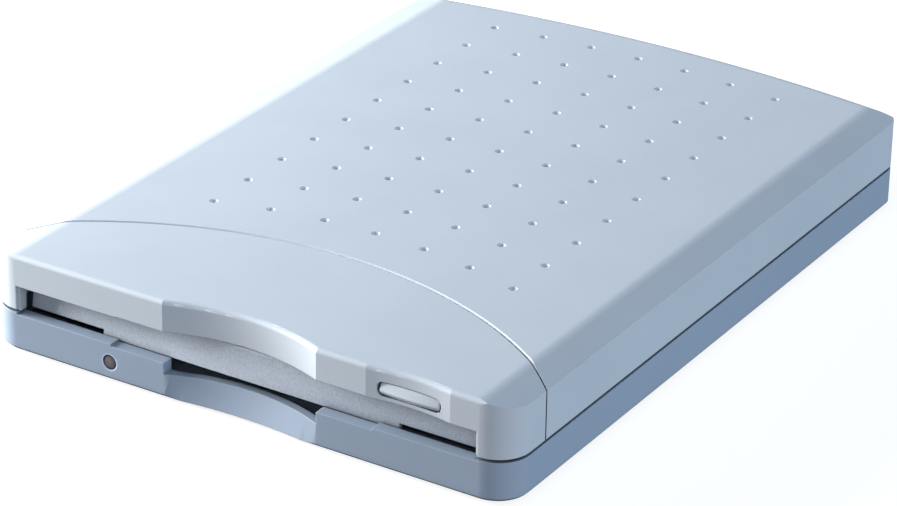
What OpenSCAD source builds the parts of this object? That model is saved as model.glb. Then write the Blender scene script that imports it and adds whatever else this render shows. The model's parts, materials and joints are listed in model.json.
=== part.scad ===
// External drive for 90 mm flexible disks: a slim two-part moulded case with a sprung
// slot door, and the disk-loading mechanism that it holds.
// +X is to the right and +Y to the back, seen from the front; +Z is up.
// The origin is the middle of the base, level with the underside of the feet.
// Inside the modules, y is measured from the front face and z from the case's underside.

/* [Case] */
// Room between the end of the slot and the case's side
slot_side = 6.25; // [6.25:0.25:9]
// Room behind the chassis, up to the middle of the case's back
back_room = 11; // [11:0.5:19]
// Room above the screening plate, below the top
cover_room = 1.9; // [1.9:0.1:5]
// Height of the parting line between the lower shell and the upper pieces
part_z = 7.1; // [7:0.1:7.4]
// Wall of the upper pieces and the lower shell
wall_t = 1.6; // [1.3:0.1:1.6]
// Floor of the lower shell
floor_t = 1.5; // [1.1:0.1:1.5]
// Front wall of the bezel
bezel_t = 2.2; // [1.8:0.1:2.2]
// Plan radius of the front corners
corner_r = 6; // [4:0.5:8]
// Plan radius of the back corners
back_corner_r = 3.5; // [2.5:0.5:5]
// Plan radius of the bowed back
back_r = 285; // [250:5:400]
// Width of the sloping band along each side of the top
band_w = 5.7; // [4:0.1:7]
// Fall of the sloping band at the side wall
band_drop = 1.3; // [0.8:0.1:1.5]
// Radius that blends the band into the flat top
band_blend_r = 9; // [5:1:12]
// Rounding of the top edge at the front
front_fillet_r = 0.8; // [0.4:0.1:1.2]
// Rounding of the top edge at the back
back_roll_r = 3; // [2:0.25:4]
// Chamfer round the underside
base_chamfer = 0.5; // [0.3:0.1:0.8]
// Depth of the reveal that runs round the case above the parting line
reveal_depth = 0.45; // [0.2:0.05:0.6]
// How much rounder the reveal's front corners are, so that it deepens there
reveal_corner = 2; // [0:0.25:3]
// Height of the reveal
reveal_h = 0.32; // [0.2:0.02:0.6]

/* [Cover seam and dimples] */
// Radius of the arc where the bezel meets the top cover
seam_r = 78; // [74:1:90]
// Distance of the arc's crown from the front face
seam_y = 30.5; // [29:0.5:34]
// Gap along the seam
seam_gap = 0.24; // [0.1:0.02:0.3]
// Chamfer of the cover along the seam
seam_chamfer = 0.38; // [0.1:0.02:0.5]
// Columns of dimples
dimple_cols = 7; // [3:2:7]
// Rows of dimples
dimple_rows = 10; // [4:1:10]
// Pitch of the dimples
dimple_pitch = 10.1; // [8:0.1:10.5]
// Distance of the first row from the front face, at the middle column
dimple_first_y = 40.9; // [40:0.5:44]
// How far the ends of the first row lie forward of its middle
dimple_bow = 4.8; // [0:0.1:5.2]
// How much of the bow each following row loses
dimple_bow_loss = 0.27; // [0:0.01:0.4]
// Width of a dimple
dimple_d = 1.5; // [1:0.1:2]
// Depth of a dimple
dimple_depth = 0.38; // [0.2:0.02:0.5]

/* [Slot, scoops and button] */
// How much wider the slot is than the disk
slot_slack = 1.5; // [1.5:0.1:2]
// Height of the slot's upper edge
slot_top_z = 12.16; // [12.1:0.02:12.3]
// Width of the steps in the ends of the slot, behind the front face
slot_step = 0.5; // [0.2:0.1:0.5]
// How far those steps lie behind the front face
slot_step_y = 0.5; // [0.3:0.1:1]
// Height of the ledge below the slot, at its outer parts
ledge_z = 6.8; // [6.4:0.1:6.8]
// Length of the ledge's higher parts, from the ends of the slot
ledge_high_w = 19.75; // [14:0.25:23]
// How much lower the middle part of the ledge is
ledge_step = 0.4; // [0.2:0.1:0.6]
// Depth of the ledge from front to back
ledge_d = 2.3; // [2:0.1:2.3]
// Width of the finger scoops
scoop_w = 30.4; // [26:0.5:34]
// Depth of the finger scoop in the bezel
scoop_depth = 3; // [2:0.1:3]
// Wall behind the finger scoop in the bezel
scoop_wall = 1.2; // [1:0.1:1.3]
// Height of the lower shell's edge at its finger scoop
low_scoop_z = 4.3; // [3.5:0.1:4.6]
// Depth of the lower scoop at its upper edge
low_scoop_depth = 3.3; // [2.5:0.1:3.4]
// Depth of the lower scoop at the underside
low_scoop_foot = 1.3; // [0.6:0.1:1.6]
// Middle of the eject button from the case's side
button_side = 19.3; // [18:0.5:22]
// Width of the button
button_w = 11.3; // [10:0.1:12]
// Height of the button
button_h = 2.4; // [2.2:0.05:2.4]
// Gap between the slot's upper edge and the button's underside
button_rise = 0.8; // [0.75:0.05:0.9]
// Width of the scoop round the button
button_scoop_w = 15.9; // [15:0.1:17]
// Depth of the scoop round the button
button_scoop_depth = 0.75; // [0.5:0.05:0.9]
// Sideways gap round the button
button_gap_x = 0.4; // [0.15:0.05:0.5]
// Gap above and below the button
button_gap_z = 0.12; // [0.08:0.02:0.16]
// Diameter of the indicator lens
lens_d = 2.7; // [2.2:0.1:3]
// Distance of the indicator lens from the case's side
lens_side = 25.7; // [22:0.5:28]
// Height of the indicator lens
lens_z = 3.3; // [3.2:0.1:3.5]

/* [Slot door] */
// Distance of the door's hinge from the front face
door_y = 4; // [4:0.1:4.3]
// Height of the door's hinge
door_z = 11.5; // [11.4:0.05:11.5]
// Thickness of the door
door_t = 1; // [0.8:0.1:1]
// Lean of the door, its foot forward
door_lean = 9.6; // [8:0.2:9.8]
// Length of the door from its hinge to the foot of its middle part
door_len = 5.4; // [5.2:0.1:5.5]
// How much shorter the door's outer parts are
door_step = 1.15; // [1:0.05:1.8]
// How far the door's long middle part reaches past the ledge's lower part
door_tongue_over = 3.5; // [1:0.1:4]
// Gap between the door's ends and the slot
door_side_gap = 1.15; // [0.8:0.05:1.4]
// Diameter of the door's pivot pins
door_pin_d = 1.2; // [1:0.1:1.3]

/* [Disk and loading mechanism] */
// Width of the disk's square case
disk_w = 90; // [89:0.5:90]
// Height at which the disk slides in
disk_z = 6.8; // [6.8:0.1:6.9]
// Free height for the disk inside the cradle
disk_room_h = 4.2; // [4.15:0.05:4.25]
// Fall of the disk onto the spindle
drop = 2; // [1.6:0.1:2]
// Forward travel of the eject slide
eject_travel = 4; // [3.6:0.1:4]
// Distance of the mechanism from the front face
mech_y = 11; // [11:0.1:12]
// Distance of the spindle from the front face
spindle_y = 53; // [52:0.5:54]
// Distance from the spindle to the disk's leading edge
disk_reach = 47; // [46.5:0.1:47]
// Sheet metal of the chassis
chassis_t = 0.8; // [0.6:0.1:0.8]
// Sheet metal of the cradle and the eject slide
sheet_t = 0.5; // [0.4:0.05:0.5]
// Height of the screening plate above the eject slide
shield_gap = 1.1; // [1.1:0.1:1.5]
// Sheet metal of the screening plate
shield_t = 0.4; // [0.3:0.05:0.5]
// Diameter of the cradle's guide pins
guide_pin_d = 1.6; // [1.2:0.1:1.6]
// Travel of the head carriage
track_travel = 15; // [12:0.5:15]
// Distance from the spindle to the outermost track
track_r = 39.5; // [39.3:0.1:39.6]
// Diameter of the lead screw
screw_d = 2; // [1.6:0.1:2.2]
// Diameter of the stepping motor
stepper_d = 7.2; // [6.4:0.2:7.2]
// Length of the stepping motor
stepper_len = 10.4; // [10.4:0.2:12]
// Diameter of the spindle motor's rotor
rotor_d = 41; // [37:0.5:41]

/* [Feet and screws] */
// Height of the feet below the case
foot_h = 0.8; // [0.5:0.1:1.5]
// Diameter of the feet
foot_d = 8; // [6:0.5:9]
// Distance of the feet from the case's sides
foot_side = 11; // [10:0.5:14]
// Distance of the front feet from the front face
foot_front_y = 13; // [10:1:20]
// Distance of the back feet from the back
foot_back = 15; // [13:1:20]
// Diameter of the screw posts
post_d = 3.5; // [3.3:0.1:3.5]
// Diameter of the case screws' shanks
case_screw_d = 1.5; // [1.2:0.1:1.6]

/* [Hidden] */
$fn = 64;
eps = 0.01;
fine = 360;             // facets of the long-radius arcs
fit = 0.05;             // radial clearance of a running fit
seat = 0.02;            // radial clearance of a fixed pin in its hole
play = 0.15;            // side clearance between sheet metal pieces that slide
split = 0.28;           // gap between the lower shell and the upper pieces

// heights of the flat parts of the stack, from the case's underside
upper_z = part_z + split;
pad_h = 0.5;
base_z = floor_t + pad_h;
base_top = base_z + chassis_t;
board_t = 0.8;
bump_h = 0.4;
board_z = base_top + bump_h;
board_top = board_z + board_t;
seated_z = disk_z - drop;

// cradle, eject slide and chassis, from the middle outwards
cradle_in = disk_w / 2 + 0.2;
cradle_out = cradle_in + sheet_t;
slide_in = cradle_out + play;
slide_out = slide_in + sheet_t;
chassis_in = slide_out + play;
chassis_out = chassis_in + chassis_t;
cradle_top_z = disk_z + disk_room_h;
slide_plate_z = cradle_top_z + sheet_t + 0.9;
shield_z = slide_plate_z + sheet_t + shield_gap;
disk_end_y = spindle_y + disk_reach;
cradle_end = disk_end_y + 0.8;
pad_x = chassis_in - 9.5;
bump_x = chassis_in - 10.5;
board_half = chassis_in - 2.5;
wall_screw_x = chassis_in - 3.4;
window_half = 8;        // half-width of the cut-outs over the heads
window_y = spindle_y + 19;
guide_z = disk_z + 2.7;
guide_front_y = mech_y + 14;
guide_back_y = spindle_y + 32;

// carriage, heads, lead screw
head_y = spindle_y + track_r;
arm_y = head_y + 25.15;
arm_z = 12.8;
rod_x = 9.3;
rod_d = 1.8;
rod_z = 3.1;
carriage_z = 1.9;
carriage_top = 4.5;
carriage_end = arm_y + 1.85;
bracket_y = carriage_end + 0.2;
bracket_t = 0.5;
stepper_x = 10.5;
stepper_y = bracket_y + bracket_t;
stepper_z = 1.7 + stepper_d / 2;
lug_y = cradle_end + 1.1;
well_half = 12.5;
well_y = window_y + 1.2;
body_half = 11.8;       // half-width of the carriage
carriage_foot = 3;      // how far its foot stands out on the lead screw's side
arm_pin_d = 1.2;
chassis_end_y = stepper_y + stepper_len + 0.4;

// case, built round the disk and the mechanism
slot_w = disk_w + slot_slack;
slot_half = slot_w / 2;
body_w = slot_w + 2 * slot_side;
half_w = body_w / 2;
body_d = chassis_end_y + back_room;
body_h = shield_z + shield_t + cover_room + wall_t;
ceiling_z = body_h - wall_t;
ledge_step_x = slot_half - ledge_high_w;
foot_x = half_w - foot_side;
foot_back_y = body_d - foot_back;
post_x = chassis_out + 0.2 + post_d / 2;
post_front_y = 17;
post_back_y = body_d - 15;
post_z = 4;
band_angle = atan(band_drop / band_w);
min_r = 0.4;
foot_seat = 0.4;        // depth of the recesses that hold the feet
small_screw_d = 1.2;
pilot_floor = 0.5;      // floor left under the pilot holes of the lower shell

// door
door_half = slot_half - door_side_gap;
door_tongue_x = ledge_step_x + door_tongue_over;
lug_t = 1.9;
lug_d = 3.6;
door_pin_len = door_side_gap + 1;

// button and lens
button_x = half_w - button_side;
lens_x = lens_side - half_w;
button_z = slot_top_z + button_rise + button_h / 2;
button_len = bezel_t + eject_travel + 0.4;
button_ridge_z = -0.15;     // height of its ridge, from its middle
stem_w = 6.2;
stem_t = 1;
stem_z = button_z - 0.05;

// spindle
bearing_d = 6;
shaft_d = 2;
rotor_z = base_top + 1.2;
rotor_t = 0.6;
hub_d = 23;
nose_d = 3.9;

// springs that push the disk out
spring_x = cradle_in - 7.2;
spring_y = cradle_end + eject_travel + 1.2;
spring_z = 8;
spring_len = 12;

// shutter lever
lever_x = cradle_in - 8.2;
lever_y = disk_end_y - 12;
lever_len = lever_x - window_half - 5;
lever_rest = -140;      // direction of the lever at rest, anticlockwise from +X
lever_z = cradle_top_z + sheet_t + 0.1;
lever_t = 0.5;
lever_pin_d = 2;
finger_d = 1.6;

// boards and ribbon cable
board_end = spindle_y - rotor_d / 2 - 1.9;
tongue_y = mech_y - 1.2;
interface_y = chassis_end_y + 0.8;
interface_top = base_z + board_t;
ribbon_x = -21;
ribbon_w = 10;
ribbon_y = board_end + 0.6;
plug_h = 0.3;           // height of the ribbon's connectors

// sensing switches
switch_x = disk_w / 2 - 4.5;
switch_y = mech_y + 2.4;
switch_h = 0.75;
plunger_d = 1.2;
plunger_travel = 1.1;
plunger_top = seated_z + plunger_travel;

// data socket
socket_w = 7.7;
socket_h = 3.9;
socket_len = 9.2;
socket_mouth_y = body_d - 0.6;
socket_back_y = socket_mouth_y - socket_len;
socket_z = base_z + board_t;
socket_gap = 0.25;

// ---------------------------------------------------------------- shared shapes

// From the case's own measures to the frame of the part
module in_place() {
    translate([0, -body_d / 2, foot_h]) children();
}

// A block given by its two corners
module block(low, high) {
    translate(low) cube([for (i = [0:2]) high[i] - low[i]]);
}

// A block on both sides of the centre line
module mirrored_block(low, high) {
    block(low, high);
    mirror([1, 0, 0]) block(low, high);
}

// A rod along Y
module rod_y(x, y, z, d, len) {
    translate([x, y, z]) rotate([-90, 0, 0]) cylinder(d = d, h = len);
}

// A rod along X
module rod_x_axis(x, y, z, d, len) {
    translate([x, y, z]) rotate([0, 90, 0]) cylinder(d = d, h = len);
}

// A screw that stands on its shank, its head at the top
module screw(head_d, head_h, shank_d, shank_len) {
    translate([0, 0, -shank_len]) cylinder(d = shank_d, h = shank_len + eps);
    difference() {
        cylinder(d = head_d, h = head_h);
        translate([0, 0, head_h / 2]) cross_recess(head_d * 0.6, head_h);
    }
}

module cross_recess(span, h) {
    arm = span / 4;
    translate([-span / 2, -arm / 2, 0]) cube([span, arm, h]);
    translate([-arm / 2, -span / 2, 0]) cube([arm, span, h]);
}

// Flat outline with round corners
module rounded_rect(w, h, r) {
    square([w - 2 * r, h], center = true);
    square([w, h - 2 * r], center = true);
    for (sx = [-1, 1], sy = [-1, 1])
        translate([sx * (w / 2 - r), sy * (h / 2 - r)]) circle(r = r);
}

// Radius of the circle whose chord and sagitta are given
function arc_r(chord, sagitta) = (chord * chord / 4 + sagitta * sagitta) / (2 * sagitta);

// A coil spring along +Z as one swept tube of six sides
module coil_spring(coil_d, wire_d, turns, len) {
    sides = 6;
    per_turn = 9;
    rings = turns * per_turn + 1;
    r = (coil_d - wire_d) / 2;
    pitch_h = len - wire_d;
    points = [
        for (i = [0:rings - 1], k = [0:sides - 1])
            let (a = 360 * i / per_turn, b = 360 * k / sides, rr = r + wire_d / 2 * cos(b))
            [rr * cos(a), rr * sin(a), wire_d / 2 + pitch_h * i / (rings - 1) + wire_d / 2 * sin(b)]
    ];
    sides_faces = [
        for (i = [0:rings - 2], k = [0:sides - 1], half = [0, 1])
            let (n = (k + 1) % sides, p = i * sides)
            half == 0 ? [p + k, p + sides + k, p + sides + n] : [p + k, p + sides + n, p + n]
    ];
    first_cap = [[for (k = [0:sides - 1]) k]];
    last_cap = [[for (k = [0:sides - 1]) rings * sides - 1 - k]];
    polyhedron(points = points, faces = concat(sides_faces, first_cap, last_cap), convexity = 8);
}

// ---------------------------------------------------------------- case outline

// Centre of the right back corner's rounding, and where the bow of the back starts
function back_arc(inset) = let (
    br = max(back_corner_r - inset, min_r),
    arc = back_r - inset,
    x = half_w - inset - br
) [x, body_d - back_r + sqrt(pow(arc - br, 2) - pow(x, 2)), x * arc / (arc - br)];

// Plan outline of the case: round front corners, bowed back
module case_plan(inset = 0, front_inset = 0, front_r = corner_r) {
    w2 = half_w - inset;
    fr = max(front_r - inset, min_r);
    br = max(back_corner_r - inset, min_r);
    arc = back_r - inset;
    arc_y = body_d - back_r;
    back = back_arc(inset);
    corner_x = back[0];
    corner_y = back[1];
    tangent_x = back[2];
    translate([-w2, front_inset + fr]) square([2 * w2, corner_y - front_inset - fr]);
    translate([-w2 + fr, front_inset]) square([2 * (w2 - fr), corner_y - front_inset]);
    for (s = [-1, 1]) {
        translate([s * (w2 - fr), front_inset + fr]) circle(r = fr);
        translate([s * corner_x, corner_y]) circle(r = br);
    }
    intersection() {
        translate([0, arc_y]) circle(r = arc, $fn = fine);
        translate([-tangent_x, body_d / 2]) square([2 * tangent_x, body_d]);
    }
}

// Front view of the upper surface: flat, a soft blend, then the sloping band
module top_profile(inset = 0) {
    w2 = half_w - inset;
    top = body_h - inset;
    bend_x = half_w - band_w;
    flat_x = bend_x - band_blend_r * tan(band_angle / 2);
    side_z = top - (w2 - bend_x) * tan(band_angle);
    steps = 12;
    right = [
        for (i = [0:steps])
            let (a = band_angle * i / steps)
            [flat_x + band_blend_r * sin(a), top - band_blend_r * (1 - cos(a))]
    ];
    left = [for (i = [steps:-1:0]) [-right[i][0], right[i][1]]];
    polygon(concat([[-w2, -1], [-w2, side_z]], left, right, [[w2, side_z], [w2, -1]]));
}

module top_profile_solid(inset = 0) {
    translate([0, body_d + 10, 0]) rotate([90, 0, 0]) linear_extrude(body_d + 20) top_profile(inset);
}

// Side view with the rounded front edge
module front_edge_solid() {
    r = front_fillet_r;
    rotate([90, 0, 90]) translate([0, 0, -half_w - 1]) linear_extrude(body_w + 2) {
        translate([0, -1]) square([body_d + 10, body_h + 1 - r]);
        translate([r, -1]) square([body_d + 10, body_h + 1]);
        translate([r, body_h - r]) circle(r = r);
    }
}

// The bowed back with its rolled upper edge, turned about the bow's centre
module back_edge_solid() {
    r = back_roll_r;
    inner = back_r - body_d - 20;
    sweep = 40;
    translate([0, body_d - back_r, 0]) rotate([0, 0, 90 - sweep / 2])
        rotate_extrude(angle = sweep, $fn = 2 * fine) {
            translate([inner, -1]) square([back_r - inner, body_h + 1 - r]);
            translate([inner, -1]) square([back_r - inner - r, body_h + 1]);
            translate([back_r - r, body_h - r]) circle(r = r, $fn = 64);
        }
}

// The case as one solid block
module case_block() {
    intersection() {
        linear_extrude(body_h + 1) case_plan();
        top_profile_solid();
        front_edge_solid();
        back_edge_solid();
    }
}

// The space inside the upper pieces
module upper_cavity(front_t) {
    intersection() {
        translate([0, 0, -1]) linear_extrude(body_h) case_plan(wall_t, front_t);
        top_profile_solid(wall_t);
    }
}

// The reveal cut into the foot of the upper pieces
module reveal_cut() {
    translate([0, 0, part_z - 1]) difference() {
        translate([-body_w, -10, 0]) cube([2 * body_w, body_d + 20, 1 + split + reveal_h]);
        translate([0, 0, -1]) linear_extrude(4)
            case_plan(reveal_depth, reveal_depth, corner_r + reveal_corner);
    }
}

// Everything above the parting line
module above_parting() {
    block([-body_w, -10, upper_z], [body_w, body_d + 10, body_h + 10]);
}

module seam_cylinder(r) {
    translate([0, seam_y - seam_r, -1]) cylinder(r = r, h = body_h + 5, $fn = fine);
}

function post_places() = [
    for (s = [-1, 1], y = [post_front_y, post_back_y]) [s * post_x, y]
];

// ---------------------------------------------------------------- case pieces

module dimples() {
    last = (dimple_cols - 1) / 2;
    r = arc_r(dimple_d, dimple_depth);
    for (i = [-last:last], k = [0:dimple_rows - 1]) {
        bow = (dimple_bow - dimple_bow_loss * k) * pow(i / last, 2);
        y = dimple_first_y + dimple_pitch * k - bow;
        translate([dimple_pitch * i, y, body_h - dimple_depth + r]) sphere(r = r, $fn = 32);
    }
}

module top_cover() in_place() color([0.80, 0.85, 0.90]) {
    pilot_h = 5;
    difference() {
        union() {
            difference() {
                intersection() {
                    case_block();
                    above_parting();
                }
                upper_cavity(bezel_t);
                reveal_cut();
            }
            for (p = post_places())
                translate([p[0], p[1], post_z]) cylinder(d = post_d, h = ceiling_z - post_z + 0.2);
        }
        seam_cylinder(seam_r + seam_gap / 2);
        translate([0, seam_y - seam_r, body_h - seam_chamfer])
            cylinder(r1 = seam_r + seam_gap / 2, r2 = seam_r + seam_gap / 2 + 2 * seam_chamfer,
                     h = 2 * seam_chamfer, $fn = fine);
        dimples();
        for (p = post_places())
            translate([p[0], p[1], post_z - 1]) cylinder(d = case_screw_d + 2 * fit, h = pilot_h + 1);
        socket_cut();
    }
}

// A vertical scoop whose upper edge is rounded over
module scoop_tool(width, depth) {
    r = arc_r(width, depth);
    f = front_fillet_r;
    translate([0, depth - r, 0]) rotate_extrude($fn = fine) {
        square([r, body_h + 2]);
        difference() {
            translate([r - eps, body_h - f]) square([f + eps, f + 2]);
            translate([r + f, body_h - f]) circle(r = f, $fn = 64);
        }
    }
}

module button_outline(grow_x = 0, grow_z = 0) {
    rounded_rect(button_w + 2 * grow_x, button_h + 2 * grow_z, 1 + grow_z);
}

module front_bezel() in_place() color([0.80, 0.84, 0.88]) {
    step_h = 0.15;
    tall_half = ledge_step_x - 1;
    lip_h = 0.9;
    lip_in = 3;
    lip_out = 1.8;
    lip_half = slot_half - 1.75;
    lip_drop = 0.05;
    difference() {
        union() {
            difference() {
                intersection() {
                    case_block();
                    above_parting();
                    seam_cylinder(seam_r - seam_gap / 2);
                }
                difference() {
                    upper_cavity(bezel_t);
                    translate([0, scoop_depth - arc_r(scoop_w, scoop_depth), 0])
                        cylinder(r = arc_r(scoop_w, scoop_depth) + scoop_wall,
                                 h = body_h, $fn = fine);
                }
                reveal_cut();
            }
            // lip that the top cover lies on
            intersection() {
                difference() {
                    translate([0, seam_y - seam_r, ceiling_z - lip_drop - lip_h])
                        cylinder(r = seam_r + lip_out, h = lip_h, $fn = fine);
                    seam_cylinder(seam_r - lip_in);
                }
                block([-lip_half, bezel_t + 1, 0], [lip_half, seam_y + lip_out + 1, body_h]);
            }
            intersection() {
                difference() {
                    translate([0, seam_y - seam_r, ceiling_z - lip_drop - eps])
                        cylinder(r = seam_r - seam_gap, h = lip_drop + 0.2, $fn = fine);
                    seam_cylinder(seam_r - lip_in);
                }
                block([-lip_half, bezel_t + 1, 0], [lip_half, seam_y + 1, body_h]);
            }
            // lugs for the door's pivots, behind the ends of the slot
            mirrored_block([slot_half, bezel_t - eps, door_z - lug_d / 2],
                           [slot_half + lug_t, door_y + lug_d / 2, ceiling_z + 0.2]);
        }
        // slot, a touch taller over its middle, its ends stepped in behind the front face
        block([-slot_half, -1, 0], [slot_half, slot_step_y, slot_top_z]);
        block([-slot_half + slot_step, -1, 0], [slot_half - slot_step, bezel_t + eps, slot_top_z]);
        block([-slot_half, bezel_t, 0], [slot_half, door_y + lug_d, slot_top_z]);
        block([-tall_half, -1, 0], [tall_half, door_y + lug_d, slot_top_z + step_h]);
        scoop_tool(scoop_w, scoop_depth);
        translate([button_x, 0, 0]) scoop_tool(button_scoop_w, button_scoop_depth);
        translate([button_x, bezel_t + 2, button_z]) rotate([90, 0, 0])
            linear_extrude(bezel_t + 4) button_outline(button_gap_x, button_gap_z);
        for (s = [-1, 1])
            rod_x_axis(s * (slot_half + lug_t / 2) - lug_t / 2 - 0.5, door_y, door_z,
                       door_pin_d + 2 * fit, lug_t + 1);
    }
}

// The hollow in the front of the lower shell: straight lines join the shallow arc at its
// foot to the deep one at its upper edge
module low_scoop_tool() {
    steps = 24;
    over = 0.2;
    half = scoop_w / 2;
    function arc_y(r, x) = sqrt(r * r - x * x) - sqrt(r * r - half * half);
    function depth_at(x, z) =
        let (t = z / low_scoop_z)
        (1 - t) * arc_y(arc_r(scoop_w, low_scoop_foot), x)
        + t * arc_y(arc_r(scoop_w, low_scoop_depth), x);
    xs = [for (i = [0:steps]) -half + scoop_w * i / steps];
    low = -over;
    high = low_scoop_z + over;
    n = steps + 1;
    wall = [for (z = [low, high], x = xs) [x, depth_at(x, z), z]];
    front = [[-half, -1, low], [half, -1, low], [-half, -1, high], [half, -1, high]];
    faces = concat(
        [for (i = [0:steps - 1], k = [0, 1]) k == 0 ? [i, i + 1, n + i + 1] : [i, n + i + 1, n + i]],
        [concat([2 * n, 2 * n + 1], [for (i = [steps:-1:0]) i])],
        [concat([2 * n + 3, 2 * n + 2], [for (i = [0:steps]) n + i])],
        [[2 * n, n * 2 + 2, 2 * n + 3, 2 * n + 1]],
        [[0, n, 2 * n + 2, 2 * n]],
        [[steps, 2 * n + 1, 2 * n + 3, n + steps]]
    );
    polyhedron(points = concat(wall, front), faces = faces, convexity = 4);
}

module lower_shell() in_place() color([0.62, 0.70, 0.80]) {
    rim_t = 0.7;
    rim_h = 1.1;
    rim_inset = wall_t + fit;
    rim_y = 16;
    shelf = 1.5;
    head_bore = 3.2;
    difference() {
        union() {
            difference() {
                linear_extrude(part_z) case_plan();
                translate([0, 0, floor_t]) linear_extrude(part_z)
                    case_plan(wall_t, ledge_d);
            }
            // wall behind the lower scoop
            intersection() {
                translate([0, low_scoop_depth - arc_r(scoop_w, low_scoop_depth), 0])
                    cylinder(r = arc_r(scoop_w, low_scoop_depth) + shelf, h = low_scoop_z, $fn = fine);
                block([-half_w + 10, 0, 0], [half_w - 10, 10, low_scoop_z]);
            }
            // rim that locates the upper pieces
            difference() {
                translate([0, 0, part_z - 1]) linear_extrude(1 + rim_h) difference() {
                    case_plan(rim_inset, rim_inset);
                    case_plan(rim_inset + rim_t, rim_inset + rim_t);
                }
                block([-half_w, -1, 0], [half_w, rim_y, body_h]);
            }
            translate([0, 0, part_z - 2]) linear_extrude(1 + eps) difference() {
                case_plan(wall_t - eps, rim_y);
                case_plan(rim_inset + rim_t, rim_y - 1);
            }
            for (p = post_places())
                translate([p[0], p[1], 0]) cylinder(d = post_d, h = post_z - fit);
            for (p = chassis_pads())
                translate([p[0], p[1], floor_t - eps]) cylinder(d = 6, h = pad_h + eps);
            for (p = interface_pads())
                translate([p[0], p[1], floor_t - eps]) cylinder(d = 4, h = pad_h + eps);
        }
        // posts of the top cover pass the rim
        for (p = post_places())
            translate([p[0], p[1], post_z - fit]) cylinder(d = post_d + 2 * play, h = part_z + rim_h);
        // slot ledge: outer parts, lower middle part and the scoop
        block([-slot_half, -1, ledge_z], [slot_half, ledge_d + 1, body_h]);
        block([-ledge_step_x, -1, ledge_z - ledge_step], [ledge_step_x, ledge_d + 1, body_h]);
        block([-scoop_w / 2, -1, low_scoop_z], [scoop_w / 2, ledge_d + 5, body_h]);
        low_scoop_tool();
        base_edge_cut();
        rod_y(lens_x, -1, lens_z, lens_d + 2 * seat, ledge_d + 2);
        for (p = foot_places())
            translate([p[0], p[1], -1]) cylinder(d = foot_d + 2 * play, h = 1 + foot_seat);
        for (p = post_places()) translate([p[0], p[1], -1]) {
            cylinder(d = head_bore, h = 1 + floor_t);
            cylinder(d = case_screw_d + 2 * fit, h = part_z);
        }
        for (p = concat(chassis_pads(), interface_pads()))
            translate([p[0], p[1], pilot_floor]) cylinder(d = small_screw_d + 2 * fit, h = part_z);
        socket_cut();
    }
}

function foot_places() = [
    for (s = [-1, 1], y = [foot_front_y, foot_back_y]) [s * foot_x, y]
];
function chassis_pads() = [
    for (s = [-1, 1], y = [mech_y + 25.5, chassis_end_y - 9]) [s * pad_x, y]
];
function interface_pads() = [for (s = [-1, 1]) [s * 20, interface_y + 3.2]];

// What the chamfer round the underside takes off the lower shell
module base_edge_cut() {
    over = 0.5;
    grow = base_chamfer + 2 * over;     // from the inset at the foot to that above the chamfer
    low = -over;
    back = back_arc(0);
    w2 = half_w - base_chamfer - over;
    fr = corner_r - base_chamfer - over;
    br = back_corner_r - base_chamfer - over;
    difference() {
        block([-body_w, -10, low + 0.1], [body_w, body_d + 20, base_chamfer + 0.2]);
        // the outline of the case, growing by as much as it rises
        translate([0, back[1], 0]) rotate([90, 0, 0]) linear_extrude(back[1] - corner_r)
            polygon([[-w2, low], [w2, low], [w2 + grow, low + grow], [-w2 - grow, low + grow]]);
        translate([-half_w + corner_r, 0, 0]) rotate([90, 0, 90]) linear_extrude(2 * (half_w - corner_r))
            polygon([[base_chamfer + over, low], [back[1], low], [back[1], low + grow], [-over, low + grow]]);
        for (s = [-1, 1]) {
            translate([s * (half_w - corner_r), corner_r, low]) cylinder(r1 = fr, r2 = fr + grow, h = grow);
            translate([s * back[0], back[1], low]) cylinder(r1 = br, r2 = br + grow, h = grow);
        }
        intersection() {
            translate([0, body_d - back_r, low])
                cylinder(r1 = back_r - base_chamfer - over, r2 = back_r + over, h = grow, $fn = fine);
            block([-back[2], body_d / 2, low], [back[2], body_d + 10, low + grow]);
        }
    }
}

module rubber_feet() in_place() color([0.16, 0.16, 0.17]) {
    round_r = min(0.3, foot_h / 2);
    for (p = foot_places()) translate([p[0], p[1], -foot_h]) rotate_extrude() {
        translate([0, round_r]) square([foot_d / 2, foot_h + foot_seat - round_r]);
        square([foot_d / 2 - round_r, foot_h]);
        translate([foot_d / 2 - round_r, round_r]) circle(r = round_r, $fn = 24);
    }
}

module case_screws() in_place() color([0.55, 0.56, 0.58]) {
    head_h = 1.1;
    shank = post_z + 3.5 - floor_t;
    for (p = post_places())
        translate([p[0], p[1], floor_t]) mirror([0, 0, 1]) screw(2.9, head_h, case_screw_d, shank);
}

// ---------------------------------------------------------------- slot door

// Coordinates of the door: its hinge at the origin, hanging down, its lean taken out
module door_frame() {
    translate([0, door_y, door_z]) rotate([-door_lean, 0, 0]) children();
}

module slot_door() in_place() color([0.78, 0.81, 0.85]) {
    nib = 0.5;
    door_frame() {
        block([-door_half, -door_t / 2, door_step - door_len], [door_half, door_t / 2, 0]);
        block([-door_tongue_x, -door_t / 2, -door_len], [door_tongue_x, door_t / 2, 0]);
        rod_x_axis(-door_half, 0, 0, door_t, 2 * door_half);
        rod_x_axis(-door_half - door_pin_len, 0, 0, door_pin_d, 2 * (door_half + door_pin_len));
        // stiffening rib along the back
        block([-door_half + 3, door_t / 2 - eps, -door_len + door_step + 0.6],
              [door_half - 3, door_t / 2 + nib, -door_len + door_step + 1.4]);
    }
}

module door_spring() in_place() color([0.75, 0.76, 0.78]) {
    wire = 0.2;
    coil_d = door_pin_d + 1;
    coil_len = 0.8;
    translate([door_half + 0.15, door_y, door_z]) rotate([0, 90, 0])
        coil_spring(coil_d, wire, 2, coil_len);
}

// ---------------------------------------------------------------- eject button

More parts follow.
